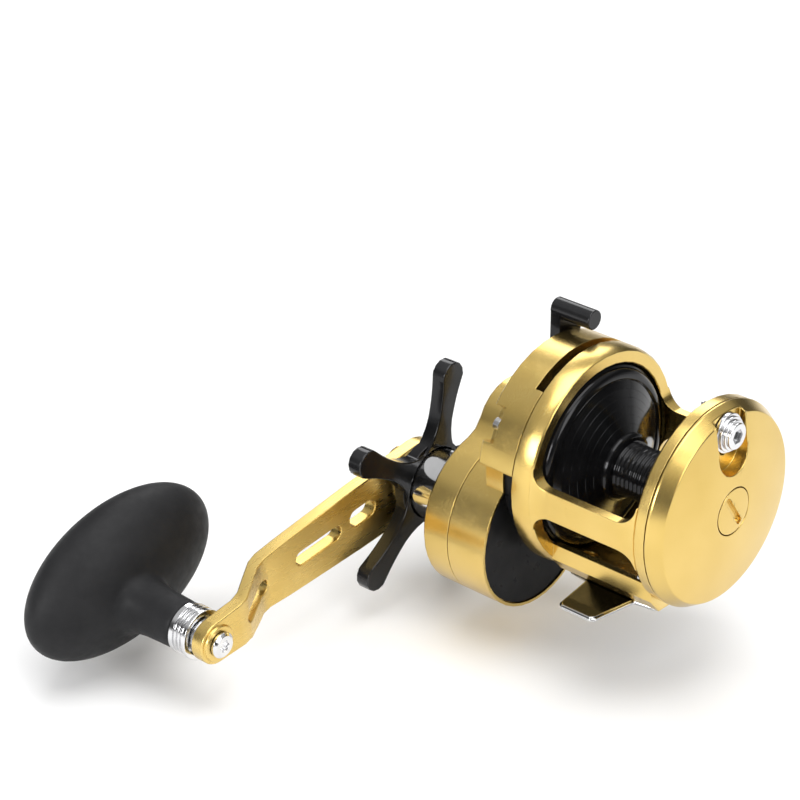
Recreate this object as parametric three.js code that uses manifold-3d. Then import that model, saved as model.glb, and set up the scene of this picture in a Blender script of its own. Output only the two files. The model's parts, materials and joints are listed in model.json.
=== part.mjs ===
// Star-drag trolling reel, right-hand crank, as separate bench pieces. Millimetres.
// +X points to the crank side, +Y forward (the way the line leaves), +Z up.
// The origin is the middle of the reel foot's underside.

import * as THREE from 'three';
import { mergeVertices } from 'three/addons/utils/BufferGeometryUtils.js';
import Module from 'manifold-3d';

const wasm = await Module();
wasm.setup();

// ---------------------------------------------------------------- driving dimensions

const TAU = 2 * Math.PI;
const GAP = 0.3;                    // clearance kept between neighbouring pieces
const FINE = 40;                    // facets round the large turned pieces
const SMALL = 16;                   // facets round bearings, shafts and sleeves
const TINY = 10;                    // facets round screws

const AXIS_Z = 34.5;                // spool axis above the foot's underside
const CRANK_Y = 14.2;               // crank axis ahead of the spool axis
const CRANK_DROP = 25.0;            // crank axis below the spool axis

const HALF_GAP = 19.15;             // half the open width between the frame rings
const FLANGE_BORE = 31.4;           // bore of both frame rings
const LEFT_R = 34.0;                // outer radius of the left ring and side plate
const RIGHT_R = 36.6;               // outer radius of the right ring and side plate
const LEFT_RING_END = -23.45;
const RIGHT_RING_END = 26.1;

const PLATE_EDGE = -28.9;           // left side plate: start of the domed face
const PLATE_TOP = -32.1;            // left side plate: middle of the domed face
const PLATE_FACE_R = 31.4;
const PLATE_BACK = -26.1;           // floor of the left side plate's inside
const CLICK_Z = 25.8;               // click button above the spool axis
const CLICK_TRAVEL = 5.5;

const SIDE_END = 40.0;              // far face of the right side plate's rim
const BULGE_START = 33.1;           // near face of the gear housing below the frame
const CASE_SEAM = 48.0;
const CASE_END = 59.1;
const CASE_R = 27.0;                // gear housing round the crank axis
const LOBE_R = 15.5;                // gear housing round the spool axis
const CASE_FILLET = 8.0;
const CASE_WALL = 1.4;

const GEAR_TEETH = 72;
const PINION_TEETH = 12;
const CENTRE_DISTANCE = Math.hypot(CRANK_Y, CRANK_DROP);
const MODULE = 2 * CENTRE_DISTANCE / (GEAR_TEETH + PINION_TEETH);

const LEVER_ANGLE = 100;            // degrees from +Y towards +Z
const LEVER_R = 42.6;               // spool axis to the lever's thumb bar

const STAR_FACE = 77.0;
const STAR_THICK = 5.3;
const STAR_REACH = 37.0;            // crank axis to the centre of a star arm's round tip
const STAR_ANGLE = 103.5;
const STAR_ARMS = 5;

const ARM_FACE = 83.8;              // handle arm's near face at the hub
const ARM_THICK = 4.7;
const ARM_LENGTH = 103.5;           // crank axis to knob axis
const ARM_FALL = 7.3;               // degrees that the arm points below +Y
const ARM_OFFSET = 9.0;             // how far the knob end steps back towards the reel

const KNOB_TILT = -14;              // degrees of the grip's long axis from +Y

// ---------------------------------------------------------------- finishes

const finish = (color, roughness, metalness) =>
  new THREE.MeshStandardMaterial({ color, roughness, metalness });

const GOLD = finish(0xd9b45a, 0.32, 1.0);
const BLACK = finish(0x141416, 0.3, 0.6);
const SILVER = finish(0xc9c9cc, 0.18, 1.0);
const STEEL = finish(0x8d9095, 0.3, 1.0);
const BRASS = finish(0xb58a3c, 0.35, 1.0);
const CARBON = finish(0x1c1c1e, 0.7, 0.0);
const FOOT_CHROME = finish(0x55575c, 0.12, 1.0);
const GRIP_RUBBER = finish(0x262628, 0.75, 0.0);

// ---------------------------------------------------------------- solid helpers

function toSolid(geometry) {
  const bare = geometry.index ? geometry.toNonIndexed() : geometry.clone();
  bare.deleteAttribute('normal');
  bare.deleteAttribute('uv');
  const merged = mergeVertices(bare, 1e-4);
  const position = merged.attributes.position.array;
  const triangles = [];
  let volume = 0;
  const corner = (i) => new THREE.Vector3().fromArray(position, 3 * i);
  for (let i = 0; i < merged.index.count; i += 3) {
    const [a, b, c] = [0, 1, 2].map((k) => merged.index.getX(i + k));
    if (a === b || b === c || c === a) continue;
    triangles.push([a, b, c]);
    volume += corner(a).dot(corner(b).cross(corner(c)));
  }
  const facing = volume < 0 ? triangles.map(([a, b, c]) => [a, c, b]) : triangles;
  return new wasm.Manifold(new wasm.Mesh({
    numProp: 3,
    vertProperties: new Float32Array(position),
    triVerts: new Uint32Array(facing.flat()),
  }));
}

function toGeometry(solid) {
  const mesh = solid.getMesh();
  const geometry = new THREE.BufferGeometry();
  geometry.setAttribute('position', new THREE.BufferAttribute(mesh.vertProperties, 3));
  geometry.setIndex(new THREE.BufferAttribute(mesh.triVerts, 1));
  geometry.computeVertexNormals();
  return geometry;
}

const join = (first, ...rest) => rest.reduce((sum, piece) => sum.add(piece), first);
const cut = (first, ...tools) => tools.reduce((left, tool) => left.subtract(tool), first);

// A solid turned about the X axis from [x, radius] pairs.
function turned(profile, facets = SMALL) {
  const points = profile.map(([x, r]) => new THREE.Vector2(r, x));
  const geometry = new THREE.LatheGeometry(points, facets);
  geometry.rotateZ(-Math.PI / 2);
  return toSolid(geometry);
}

const rod = (radius, x0, x1, facets = SMALL) =>
  turned([[x0, 0], [x0, radius], [x1, radius], [x1, 0]], facets);

const sleeve = (outer, inner, x0, x1, facets = SMALL) =>
  turned([[x0, inner], [x0, outer], [x1, outer], [x1, inner], [x0, inner]], facets);

// A flat outline in the YZ plane, given thickness along X.
function slab(shape, x0, x1, edge = 0, curveSegments = 4) {
  const depth = x1 - x0 - 2 * edge;
  const bevel = edge > 0
    ? { bevelEnabled: true, bevelThickness: edge, bevelSize: edge, bevelOffset: -edge, bevelSegments: 1 }
    : { bevelEnabled: false };
  const geometry = new THREE.ExtrudeGeometry(shape, { depth, curveSegments, ...bevel });
  geometry.translate(0, 0, edge);
  const basis = new THREE.Matrix4().makeBasis(
    new THREE.Vector3(0, 1, 0), new THREE.Vector3(0, 0, 1), new THREE.Vector3(1, 0, 0));
  geometry.applyMatrix4(basis);
  geometry.translate(x0, 0, 0);
  return toSolid(geometry);
}

function polygon(points) {
  return new THREE.Shape(points.map(([y, z]) => new THREE.Vector2(y, z)));
}

function box(low, high) {
  const size = high.map((v, i) => v - low[i]);
  const geometry = new THREE.BoxGeometry(...size);
  geometry.translate(...high.map((v, i) => (v + low[i]) / 2));
  return toSolid(geometry);
}

// Points along an arc, about `step` degrees apart, ends included.
function arcPoints(cy, cz, radius, from, to, step = 9) {
  const count = Math.max(2, Math.round(Math.abs(to - from) / THREE.MathUtils.degToRad(step)));
  const points = [];
  for (let i = 0; i <= count; i += 1) {
    const a = from + (to - from) * i / count;
    points.push([cy + radius * Math.cos(a), cz + radius * Math.sin(a)]);
  }
  return points;
}

// A slot with round ends; `angle` in degrees turns its long way from +Y.
function slotShape(length, width, y = 0, z = 0, angle = 0) {
  const shape = new THREE.Shape();
  const turn = THREE.MathUtils.degToRad(angle);
  const half = (length - width) / 2;
  const ends = [1, -1].map((s) => [y + s * half * Math.cos(turn), z + s * half * Math.sin(turn)]);
  shape.absarc(...ends[0], width / 2, turn - Math.PI / 2, turn + Math.PI / 2);
  shape.absarc(...ends[1], width / 2, turn + Math.PI / 2, turn + 1.5 * Math.PI);
  shape.closePath();
  return shape;
}

// The wedge of the YZ plane between two angles, as a slab.
function sector(fromDeg, toDeg, radius, x0, x1) {
  const points = [[0, 0]];
  const steps = 8;
  for (let i = 0; i <= steps; i += 1) {
    const a = THREE.MathUtils.degToRad(fromDeg + (toDeg - fromDeg) * i / steps);
    points.push([radius * Math.cos(a), radius * Math.sin(a)]);
  }
  return slab(polygon(points), x0, x1);
}

const polar = (radius, degrees) => [
  radius * Math.cos(THREE.MathUtils.degToRad(degrees)),
  radius * Math.sin(THREE.MathUtils.degToRad(degrees)),
];

// ---------------------------------------------------------------- scene graph

const reel = new THREE.Group();
const spoolAxis = new THREE.Group();
spoolAxis.position.set(0, 0, AXIS_Z);
const crankAxis = new THREE.Group();
crankAxis.position.set(0, CRANK_Y, AXIS_Z - CRANK_DROP);
const knobAxis = new THREE.Group();
const [knobY, knobZ] = polar(ARM_LENGTH, -ARM_FALL);
knobAxis.position.set(0, knobY, knobZ);
crankAxis.add(knobAxis);
reel.add(spoolAxis, crankAxis);

function addPiece(group, name, solid, material) {
  const mesh = new THREE.Mesh(toGeometry(solid), material);
  mesh.name = name;
  group.add(mesh);
  return mesh;
}

// ---------------------------------------------------------------- frame and foot

const SEAT_R = 30.2;                // inside of the seat under the line space
const SEAT_FLAT = -32.3;            // flat under the frame, below the spool axis
const PILLAR_IN = 31.4;
const PILLAR_OUT = 34.6;

// Outline of a pillar that flares into both rings with round corners.
function pillarOutline(halfWidth, fillet) {
  const end = HALF_GAP + 0.4;
  const wide = halfWidth + fillet;
  const shape = new THREE.Shape();
  shape.moveTo(-end, -wide);
  shape.lineTo(-HALF_GAP, -wide);
  shape.absarc(-HALF_GAP + fillet, -wide, fillet, Math.PI, Math.PI / 2, true);
  shape.absarc(HALF_GAP - fillet, -wide, fillet, Math.PI / 2, 0, true);
  shape.lineTo(end, -wide);
  shape.lineTo(end, wide);
  shape.absarc(HALF_GAP - fillet, wide, fillet, 0, -Math.PI / 2, true);
  shape.absarc(-HALF_GAP + fillet, wide, fillet, -Math.PI / 2, -Math.PI, true);
  shape.lineTo(-end, wide);
  return shape;
}

function pillar(angleDeg) {
  const depth = 14;
  const geometry = new THREE.ExtrudeGeometry(pillarOutline(4.9, 6.0),
    { depth, curveSegments: 4, bevelEnabled: false });
  geometry.translate(0, 0, 26);
  geometry.rotateX(-Math.PI / 2 + THREE.MathUtils.degToRad(angleDeg));
  const shell = turned([
    [-HALF_GAP - 0.4, PILLAR_IN], [-HALF_GAP - 0.4, LEFT_R], [-14, PILLAR_OUT], [14, PILLAR_OUT],
    [HALF_GAP + 0.4, 36.0], [HALF_GAP + 0.4, PILLAR_IN], [-HALF_GAP - 0.4, PILLAR_IN]], FINE);
  return shell.intersect(toSolid(geometry));
}

function seat() {
  const outline = polygon([
    [23.6, -21.5], [23.6, -27.0], [19.0, SEAT_FLAT], [-19.0, SEAT_FLAT], [-23.6, -27.0], [-23.6, -21.5]]);
  const block = slab(outline, -HALF_GAP - 0.4, HALF_GAP + 0.4);
  const relief = slab(slotShape(22, 9, 0, 0, 90), -4.5, 4.5);
  return cut(block, rod(SEAT_R, -22, 22, FINE), relief);
}

const FOOT_SCREWS = [[-13, -12], [-13, 12], [13, -12], [13, 12]];
const SCREW_HEAD_TOP = -29.4;       // foot screw heads sit in pockets of the seat

function footScrew() {
  const solid = turned([[-34.0, 0], [-34.0, 1.1], [-31.2, 1.1], [-31.2, 2.2], [SCREW_HEAD_TOP, 2.2],
    [SCREW_HEAD_TOP, 0.9], [-30.3, 0.9], [-30.3, 0]], TINY);
  return solid.rotate([0, -90, 0]);
}

function footScrewHoles(headRadius, shankRadius, bottom) {
  return FOOT_SCREWS.map(([x, y]) => turned([
    [bottom, 0], [bottom, shankRadius], [-31.5, shankRadius], [-31.5, headRadius], [-20, headRadius],
    [-20, 0]], TINY).rotate([0, -90, 0]).translate([x, y, 0]));
}

const SIDE_SCREW_ANGLES = [30, 150, 215];
const SIDE_SCREW_R = 34.4;
const LEFT_SCREW_ANGLES = [90, 210, 330];
const LEFT_SCREW_R = 32.55;

function buildFrame() {
  const leftRing = turned([
    [LEFT_RING_END, FLANGE_BORE], [LEFT_RING_END, LEFT_R], [-20.0, LEFT_R], [-HALF_GAP, 33.3],
    [-HALF_GAP, FLANGE_BORE + 0.4], [-HALF_GAP - 0.4, FLANGE_BORE], [LEFT_RING_END, FLANGE_BORE]], FINE);
  const rightRing = turned([
    [HALF_GAP, FLANGE_BORE + 0.4], [HALF_GAP, 35.4], [HALF_GAP + 0.9, 36.1], [23.0, RIGHT_R],
    [RIGHT_RING_END, RIGHT_R], [RIGHT_RING_END, FLANGE_BORE], [HALF_GAP + 0.4, FLANGE_BORE],
    [HALF_GAP, FLANGE_BORE + 0.4]], FINE);
  const body = join(leftRing, rightRing, seat(), pillar(-2), pillar(178));
  const sideHoles = SIDE_SCREW_ANGLES.map((a) => {
    const [y, z] = polar(SIDE_SCREW_R, a);
    return rod(1.4, 21.0, 27, TINY).translate([0, y, z]);
  });
  const leftHoles = LEFT_SCREW_ANGLES.map((a) => {
    const [y, z] = polar(LEFT_SCREW_R, a);
    return rod(0.8, -24, -19, TINY).translate([0, y, z]);
  });
  return cut(body, ...footScrewHoles(2.5, 1.4, -34), ...sideHoles, ...leftHoles);
}

// The foot: a wide pad between the side plates with a blade fore and aft.
function buildFoot() {
  const front = [[17.9, 14.2], [17.9, 16.0], [16.5, 17.6], [9.6, 18.6], [7.2, 34.6], [5.8, 36.0]];
  const outline = [
    ...front,
    ...front.map(([x, y]) => [-x, y]).reverse(),
    ...front.map(([x, y]) => [-x, -y]),
    ...front.map(([x, y]) => [x, -y]).reverse(),
  ];
  const shape = polygon(outline);
  const geometry = new THREE.ExtrudeGeometry(shape,
    { depth: 0.7, bevelThickness: 0.6, bevelSize: 0.6, bevelOffset: -0.6, bevelSegments: 1 });
  geometry.translate(0, 0, -AXIS_Z + 0.6);
  return cut(toSolid(geometry), ...footScrewHoles(2.5, 1.4, -34.2));
}

addPiece(spoolAxis, 'frame', buildFrame(), GOLD);
addPiece(spoolAxis, 'reel_foot', buildFoot(), FOOT_CHROME);
FOOT_SCREWS.forEach(([x, y], i) => {
  addPiece(spoolAxis, `foot_screw_${i + 1}`, footScrew().translate([x, y, 0]), BRASS);
});

// ---------------------------------------------------------------- left side

const CAP_R = 7.7;
const DOME_FALL = (PLATE_EDGE - PLATE_TOP) / PLATE_FACE_R ** 2;
const domeX = (r) => PLATE_TOP + DOME_FALL * r * r;

function buildLeftPlate() {
  const bore = CAP_R + GAP;
  const dome = [28, 23, 18, 13].map((r) => [domeX(r), r]);
  const shell = turned([
    [-23.75, FLANGE_BORE], [-23.75, LEFT_R], [-24.6, LEFT_R], [PLATE_EDGE, PLATE_FACE_R],
    ...dome, [domeX(bore), bore], [PLATE_BACK, bore], [PLATE_BACK, FLANGE_BORE - 1.5],
    [-25.0, FLANGE_BORE], [-23.75, FLANGE_BORE]], FINE);
  const pocket = slab(slotShape(24.5, 14.4, 0, 24.8, 90), -34, -27.0, 0, 6);
  const guide = slab(slotShape(4.6 + CLICK_TRAVEL, 4.6, 0, CLICK_Z - CLICK_TRAVEL / 2, 90), -28, -25);
  const holes = LEFT_SCREW_ANGLES.map((a) => {
    const [y, z] = polar(LEFT_SCREW_R, a);
    return rod(0.8, -25.4, -23, TINY).translate([0, y, z]);
  });
  return cut(shell, pocket, guide, ...holes);
}

function buildTensionCap() {
  const body = turned([
    [PLATE_TOP, 0], [domeX(4), 4], [domeX(CAP_R), CAP_R], [PLATE_BACK, CAP_R], [PLATE_BACK, 5.9],
    [-29.8, 5.9], [-29.8, 0]], 28);
  const coin = slab(slotShape(13.2, 2.2, 0, 0, 55), -34, -30.7, 0, 3);
  return cut(body, coin);
}

// Ribbed push button of the line-out click, with its stem.
function buildClickButton() {
  return turned([
    [-31.8, 0], [-31.8, 4.2], [-30.6, 4.6], [-30.6, 5.4], [-29.2, 5.6], [-29.2, 6.5], [-27.3, 6.5],
    [-27.3, 2.0], [-25.95, 2.0], [-25.95, 0]], SMALL);
}

// Flat click tongue behind the plate's floor; its tip points at the click gear.
function buildClickTongue() {
  const z = CLICK_Z;
  const outline = polygon([
    [-4.5, z + 3], [-4.5, z - 3], [-1.0, z - 6.6], [-0.6, z - 9.6], [0.6, z - 9.6], [1.0, z - 6.6],
    [4.5, z - 3], [4.5, z + 3]]);
  return slab(outline, -25.65, -24.65);
}

// Pointed teeth; `flat` is half the width of a tooth's tip, as a share of the pitch.
function toothedOutline(teeth, root, tip, flat, phase = 0) {
  const points = [];
  const pitch = TAU / teeth;
  for (let i = 0; i < teeth; i += 1) {
    const middle = phase + i * pitch;
    const flank = [[-0.5, root], [-flat, tip], [flat, tip]];
    flank.forEach(([offset, r]) => {
      const a = middle + offset * pitch;
      points.push([r * Math.cos(a), r * Math.sin(a)]);
    });
  }
  return points;
}

addPiece(spoolAxis, 'left_side_plate', buildLeftPlate(), GOLD);
addPiece(spoolAxis, 'spool_tension_cap', buildTensionCap(), GOLD);
addPiece(spoolAxis, 'click_button', buildClickButton().translate([0, 0, CLICK_Z]), SILVER);
addPiece(spoolAxis, 'click_tongue', buildClickTongue(), STEEL);
LEFT_SCREW_ANGLES.forEach((a, i) => {
  const [y, z] = polar(LEFT_SCREW_R, a);
  const screw = turned([[-25.1, 0], [-25.1, 0.5], [-18.8, 0.5], [-18.8, 0.8], [-18.0, 0.7],
    [-18.0, 0]], TINY);
  addPiece(spoolAxis, `left_plate_screw_${i + 1}`, screw.translate([0, y, z]), STEEL);
});

// ---------------------------------------------------------------- spool

const SHAFT_R = 2.5;
const ARBOR_R = 8.8;
const FLANGE_R = 30.6;

function buildSpool() {
  const cone = (s) => [
    [s * 22.9, 6.0], [s * 15.4, 6.0], [s * 21.2, 28.6], [s * 22.9, 28.9], [s * 22.9, FLANGE_R],
    [s * 20.0, FLANGE_R], [s * 18.9, 28.4], [s * 10.6, 11.2], [s * 8.4, ARBOR_R]];
  const bore = SHAFT_R + GAP;
  const left = [[-25.4, bore], [-25.4, 5.0], [-24.2, 5.0], ...cone(-1)];
  const right = [[24.0, bore], [24.0, 6.0], ...cone(1).slice(1)].reverse();
  return turned([...left, ...right, left[0]], FINE);
}

function buildClickGear() {
  const gear = slab(polygon(toothedOutline(24, 9.4, 10.4, 0.1)), -25.6, -24.6);
  return cut(gear, rod(5.3, -26, -24, SMALL));
}

function buildSpoolShaft() {
  const shaft = rod(SHAFT_R, -29.4, 57.6, SMALL);
  const pinHole = rod(1.1, -4, 4, TINY).rotate([0, 0, 90]).translate([27.8, 0, 0]);
  return cut(shaft, pinHole);
}

addPiece(spoolAxis, 'spool', buildSpool(), BLACK);
addPiece(spoolAxis, 'click_gear', buildClickGear(), BRASS);
addPiece(spoolAxis, 'spool_shaft', buildSpoolShaft(), STEEL);
addPiece(spoolAxis, 'spool_drive_pin',
  rod(0.8, -4.6, 4.6, TINY).rotate([0, 0, 90]).translate([27.8, 0, 0]), STEEL);
addPiece(spoolAxis, 'left_spool_bearing', sleeve(5.6, SHAFT_R + GAP, -29.4, -26.6), STEEL);

// ---------------------------------------------------------------- right side housing

// Outline of two round lobes joined by hollow fillets: the big one round the crank axis,
// the small one round the spool axis.
function housingOutline(bigR, smallR, fillet) {
  const centre = new THREE.Vector2(CRANK_Y, -CRANK_DROP);
  const distance = centre.length();
  const towards = Math.atan2(centre.y, centre.x);
  const toBig = bigR + fillet;
  const toSmall = smallR + fillet;
  const along = (toSmall ** 2 + distance ** 2 - toBig ** 2) / (2 * distance);
  const spread = Math.acos(along / toSmall);
  const hollow = (side) => {
    const a = towards + side * spread;
    return new THREE.Vector2(toSmall * Math.cos(a), toSmall * Math.sin(a));
  };
  const front = hollow(1);
  const rear = hollow(-1);
  const angle = (from, to) => Math.atan2(to.y - from.y, to.x - from.x);
  const spool = new THREE.Vector2(0, 0);
  const downFrom = (start, stop) => (stop > start ? stop - TAU : stop);
  const upFrom = (start, stop) => (stop < start ? stop + TAU : stop);
  const sweep = (middle, r, from, to, way, step) =>
    arcPoints(middle.x, middle.y, r, from, way(from, to), step).slice(0, -1);
  return polygon([
    ...sweep(centre, bigR, angle(centre, rear), angle(centre, front), upFrom, 9),
    ...sweep(front, fillet, angle(front, centre), angle(front, spool), downFrom, 24),
    ...sweep(spool, smallR, angle(spool, front), angle(spool, rear), upFrom, 15),
    ...sweep(rear, fillet, angle(rear, spool), angle(rear, centre), downFrom, 24),
  ]);
}

const crankRod = (radius, x0, x1, facets = FINE) =>
  rod(radius, x0, x1, facets).translate([0, CRANK_Y, -CRANK_DROP]);

const CUT_FROM = -108;              // the rim is open to the housing between these angles
const CUT_TO = 8;

const sidePoint = (a) => polar(SIDE_SCREW_R, a);

// Screw ears of the gear case, at the back and underneath: [y, z] from the spool axis.
const EAR_R = 3.6;
const EAR_FACE = 54.0;
const crankPoint = (radius, a) => {
  const [y, z] = polar(radius, a);
  return [y + CRANK_Y, z - CRANK_DROP];
};
const PAWL_PIN = crankPoint(17.0, 214);
const PAWL_LIFT = 14;               // degrees that the pawl is held clear of the ratchet
const COVER_SCREWS = [crankPoint(29.8, 196), crankPoint(29.8, 262), polar(18.3, 150)];
const earRods = (radius, x0, x1, facets) =>
  COVER_SCREWS.map(([y, z]) => rod(radius, x0, x1, facets).translate([0, y, z]));

function buildRightPlate() {
  const rim = turned([
    [RIGHT_RING_END + GAP, FLANGE_BORE], [RIGHT_RING_END + GAP, RIGHT_R], [SIDE_END - 0.5, RIGHT_R],
    [SIDE_END, RIGHT_R - 0.5], [SIDE_END, FLANGE_BORE], [RIGHT_RING_END + GAP, FLANGE_BORE]], FINE);
  const open = sector(CUT_FROM, CUT_TO, 60, 20, 60);
  const arc = rim.subtract(open);
  const floorDisc = rod(FLANGE_BORE + 0.3, 35.5, SIDE_END, FINE);
  const bulge = slab(housingOutline(CASE_R, LOBE_R, CASE_FILLET), BULGE_START, CASE_SEAM);
  const inside = slab(housingOutline(CASE_R - CASE_WALL, LOBE_R - CASE_WALL, CASE_FILLET + 2),
    SIDE_END, CASE_SEAM + 1);
  const linerPocket = join(crankRod(CASE_R - 1.0, BULGE_START - 1, 35.3), rod(FLANGE_BORE, 20, 35.3, FINE));
  const leverSlot = cut(
    sector(53, 130, 60, 25.0, 29.3),
    rod(FLANGE_BORE - 3, 24, 30, SMALL));
  const leverDoor = cut(sector(34, 121, 30, 41.0, 45.9), rod(9, 40, 47, SMALL));
  const notches = SIDE_SCREW_ANGLES.map((a) =>
    cut(sector(a - 10, a + 9, 60, 35.6, 42), rod(FLANGE_BORE + 0.8, 35, 43, FINE)));
  const screwHoles = SIDE_SCREW_ANGLES.map((a) => {
    const [y, z] = sidePoint(a);
    return rod(1.4, 24, 36, TINY).translate([0, y, z]);
  });
  const pawlPost = rod(0.9, SIDE_END - 0.5, 44.6, TINY).translate([0, ...PAWL_PIN]);
  const cheek = cut(sector(-18, CUT_TO, FLANGE_BORE + 0.9, BULGE_START, SIDE_END), rod(FLANGE_BORE - 0.5, 30, 42, FINE));
  const body = join(arc, floorDisc, cheek, bulge, ...earRods(EAR_R, 42.0, CASE_SEAM, SMALL));
  const hollow = cut(body, inside, ...earRods(1.4, 43.0, CASE_SEAM + 1, TINY));
  return cut(join(hollow, pawlPost), linerPocket, leverSlot, leverDoor, ...notches, ...screwHoles,
    rod(7.3, 30, 41, SMALL), crankRod(7.3, 37.4, 41, SMALL));
}

function buildInnerPlate() {
  const overFrame = rod(FLANGE_BORE - GAP, BULGE_START + 0.5, 35.0, FINE);
  const overGears = crankRod(CASE_R - 1.0 - GAP, BULGE_START + 0.5, 35.0);
  const rimRoom = cut(
    sleeve(RIGHT_R + GAP, FLANGE_BORE - GAP, 30, 36, FINE),
    sector(CUT_FROM + 0.6, CUT_TO - 0.6, 60, 29, 37));
  const skirt = sleeve(FLANGE_BORE - GAP, FLANGE_BORE - GAP - 1.1, 26.7, BULGE_START + 1.0, FINE);
  return cut(join(overFrame, overGears, skirt), rimRoom, rod(7.3, 30, 36, SMALL));
}

function buildCover() {
  const start = CASE_SEAM + GAP;
  const outer = slab(housingOutline(CASE_R, LOBE_R, CASE_FILLET), start - 3, CASE_END, 1.2);
  const trimmed = outer.subtract(box([start - 5, -60, -80], [start, 60, 60]));
  const inside = slab(housingOutline(CASE_R - CASE_WALL, LOBE_R - CASE_WALL, CASE_FILLET + 2),
    start - 1, 57.2);
  const bearingBoss = sleeve(6.9, 5.0, 55.6, 57.6, SMALL);
  const bearingSeat = rod(5.2, 55.0, 57.9, SMALL);
  const shell = join(trimmed, ...earRods(EAR_R, start, EAR_FACE, SMALL)).subtract(inside);
  return cut(join(shell, bearingBoss), bearingSeat, crankRod(9.3, 55, 61, 28),
    ...earRods(1.4, start - 1, EAR_FACE + 1, TINY));
}

addPiece(spoolAxis, 'right_side_plate', buildRightPlate(), GOLD);
addPiece(spoolAxis, 'inner_plate', buildInnerPlate(), BLACK);
addPiece(spoolAxis, 'gear_case_cover', buildCover(), GOLD);
SIDE_SCREW_ANGLES.forEach((a, i) => {
  const [y, z] = sidePoint(a);
  const screw = turned([[21.4, 0], [21.4, 1.1], [35.9, 1.1], [35.9, 2.1], [38.0, 2.1], [38.0, 1.0],
    [36.9, 1.0], [36.9, 0]], TINY);
  addPiece(spoolAxis, `side_plate_screw_${i + 1}`, screw.translate([0, y, z]), SILVER);
});
COVER_SCREWS.forEach(([y, z], i) => {
  const screw = turned([[43.4, 0], [43.4, 1.1], [EAR_FACE + GAP, 1.1], [EAR_FACE + GAP, 2.4],
    [EAR_FACE + 2.0, 2.2], [EAR_FACE + 2.0, 1.1], [EAR_FACE + 1.0, 1.1], [EAR_FACE + 1.0, 0]], TINY);
  addPiece(spoolAxis, `cover_screw_${i + 1}`, screw.translate([0, y, z]), SILVER);
});

// ---------------------------------------------------------------- clutch and lever

const PINION_BORE = SHAFT_R + GAP;
const PINION_PITCH = MODULE * PINION_TEETH / 2;
const GEAR_PITCH = MODULE * GEAR_TEETH / 2;

function buildPinion() {
  const body = turned([
    [26.6, PINION_BORE], [26.6, 5.6], [30.4, 5.6], [31.2, 3.6], [40.5, 3.6], [40.5, 5.0], [41.5, 5.0],
    [41.5, 3.6], [43.5, 3.6], [43.5, 5.0], [44.5, 5.0], [44.5, 3.3], [46.4, 3.3],
    [46.4, PINION_BORE], [26.6, PINION_BORE]], SMALL);
  const dogSlot = box([25, -7, -1.15], [29.6, 7, 1.15]);
  const mesh = Math.atan2(-CRANK_DROP, CRANK_Y) + Math.PI / PINION_TEETH;
  const teeth = slab(polygon(toothedOutline(PINION_TEETH, PINION_PITCH - 0.75, PINION_PITCH + 0.5, 0.06, mesh)),
    46.2, 53.0);
  return cut(join(body, teeth), dogSlot, rod(PINION_BORE, 26, 54, SMALL));
}

// Lever: thumb bar over the rim, arm outside the side plate, ring round the pinion.
function buildLever() {
  const [barY, barZ] = polar(LEVER_R, LEVER_ANGLE);
  const bar = rod(3.35, 29.9, 45.4, 16).translate([0, barY, barZ]);
  const outline = polygon([
    [barY + 3.2, barZ + 0.6], [barY + 3.2, 30.0], [3.0, 17.0], [4.6, 9.9], [-5.0, 9.9], [-5.6, 17.0],
    [-15.2, 33.0], [-16.4, 37.0], [barY - 3.2, barZ - 0.8]]);
  const arm = slab(outline, 41.4, 45.4);
  const ring = sleeve(12.4, 8.0, 41.4, 45.4, 28);
  return cut(join(bar, arm, ring), rod(8.0, 40, 47, 28));
}

addPiece(spoolAxis, 'pinion_gear', buildPinion(), BRASS);
addPiece(spoolAxis, 'pinion_bearing', sleeve(7.0, 3.9, 37.0, 39.8), STEEL);
addPiece(spoolAxis, 'shaft_end_bearing', sleeve(4.9, SHAFT_R + GAP, 55.5, 57.6), STEEL);
addPiece(spoolAxis, 'clutch_yoke', sleeve(7.7, 3.9, 41.8, 43.2, 24), STEEL);
addPiece(spoolAxis, 'freespool_lever', buildLever(), BLACK);

// ---------------------------------------------------------------- crank drive

const SHAFT_BIG = 4.0;
const RATCHET_TEETH = 8;

function buildDriveShaft() {
  return turned([
    [38.4, 0], [38.4, 3.0], [40.6, 3.0], [40.6, 6.0], [41.7, 6.0], [41.7, SHAFT_BIG], [93.0, SHAFT_BIG],
    [93.0, 1.9], [86.0, 1.9], [86.0, 0]], 24);
}

function buildRatchet() {
  const points = [];
  for (let i = 0; i < RATCHET_TEETH; i += 1) {
    const a = 360 * i / RATCHET_TEETH;
    points.push(polar(11.2, a), polar(9.0, a + 6), polar(9.0, a + 26));
  }
  return cut(slab(polygon(points), 42.0, 44.4), rod(SHAFT_BIG + GAP, 41, 46));
}

// Silent pawl on a fixed post, held clear; its nose drops behind a steep tooth face of the ratchet.
function buildPawl() {
  const outline = polygon([
    crankPoint(18.6, 206), crankPoint(14.6, 196), crankPoint(11.8, 187), crankPoint(9.6, 188.5),
    crankPoint(10.8, 200), crankPoint(14.2, 214)]);
  const boss = rod(2.6, 42.0, 44.0, SMALL).translate([0, ...PAWL_PIN]);
  const hole = rod(1.2, 41, 46, TINY).translate([0, ...PAWL_PIN]);
  const [y, z] = PAWL_PIN;
  return cut(join(slab(outline, 42.0, 44.0), boss), hole)
    .translate([0, -y, -z]).rotate([PAWL_LIFT, 0, 0]).translate([0, y, z]);
}

function buildMainGear() {
  const teeth = slab(polygon(toothedOutline(GEAR_TEETH, GEAR_PITCH - 0.75, GEAR_PITCH + 0.5, 0.06,
    Math.atan2(CRANK_DROP, -CRANK_Y))), 47.0, 51.0);
  return cut(teeth, rod(17.2, 48.4, 52, 24), rod(SHAFT_BIG + GAP, 46, 52));
}

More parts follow.
